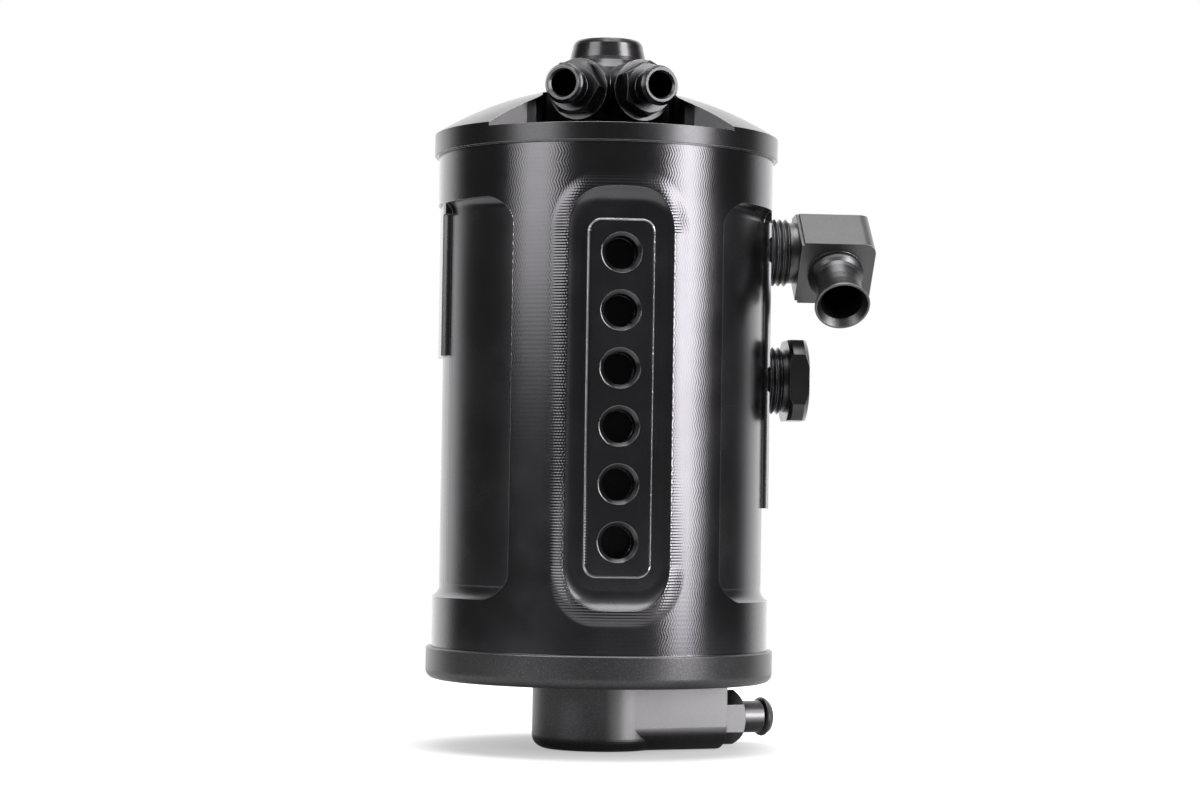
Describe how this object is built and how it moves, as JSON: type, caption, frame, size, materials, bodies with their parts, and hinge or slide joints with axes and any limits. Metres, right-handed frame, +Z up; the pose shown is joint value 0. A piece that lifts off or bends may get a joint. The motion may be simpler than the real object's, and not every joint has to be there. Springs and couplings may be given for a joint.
{
  "type": "oil catch can",
  "caption": "Turned aluminium oil catch can with a drilled bracket pad, domed lid with hose outlets, side inlet elbow, plugged port, inner mesh stack, check valve and sump drain.",
  "frame": {"origin": "point on the can's axis in the flat underside of the sump, where the can stands", "axes": "+Z up along the can's axis, -Y out of the bracket pad's tapped holes, +X towards the inlet elbow and the plugged port"},
  "size_m": [0.1168, 0.0916, 0.1876],
  "materials": {
    "black_anodised": "satin black anodised",
    "grey_anodised": "fine blasted, dark grey anodised",
    "seal_rubber": "matt",
    "spring_steel": "plain",
    "stainless": "plain",
    "plain_aluminium": "plain",
    "valve_brass": "turned"
  },
  "bodies": {
    "can": {"can_body": "black_anodised", "inlet_elbow": "grey_anodised", "port_plug": "grey_anodised", "lower_clip": "spring_steel", "lower_screen": "plain_aluminium", "mesh_pack": "stainless", "upper_screen": "plain_aluminium", "tie_rod": "stainless", "lower_nut": "stainless", "upper_nut": "stainless", "splash_plate": "plain_aluminium"},
    "lid": {"lid": "black_anodised", "centre_cap": "black_anodised", "lid_seal": "seal_rubber", "left_outlet": "grey_anodised", "right_outlet": "grey_anodised", "left_outlet_seal": "seal_rubber", "right_outlet_seal": "seal_rubber", "valve_seat": "valve_brass", "seat_clip": "spring_steel", "valve_spring": "spring_steel"},
    "base": {"base_cap": "grey_anodised", "base_seal": "seal_rubber", "drain_barb": "grey_anodised", "drain_seal": "seal_rubber"},
    "poppet": {"valve_poppet": "valve_brass"}
  },
  "joints": [
    {"name": "lid_lift", "type": "slide", "parent": "can", "child": "lid", "axis": [0, 0, 1], "range_m": [0, 0.05]},
    {"name": "base_drop", "type": "slide", "parent": "can", "child": "base", "axis": [0, 0, -1], "range_m": [0, 0.05]},
    {"name": "check_valve", "type": "slide", "parent": "lid", "child": "poppet", "axis": [0, 0, 1], "range_m": [0, 0.0025], "stiffness_N_per_m": 150, "springref_m": -0.004, "deforming": ["valve_spring"]}
  ]
}
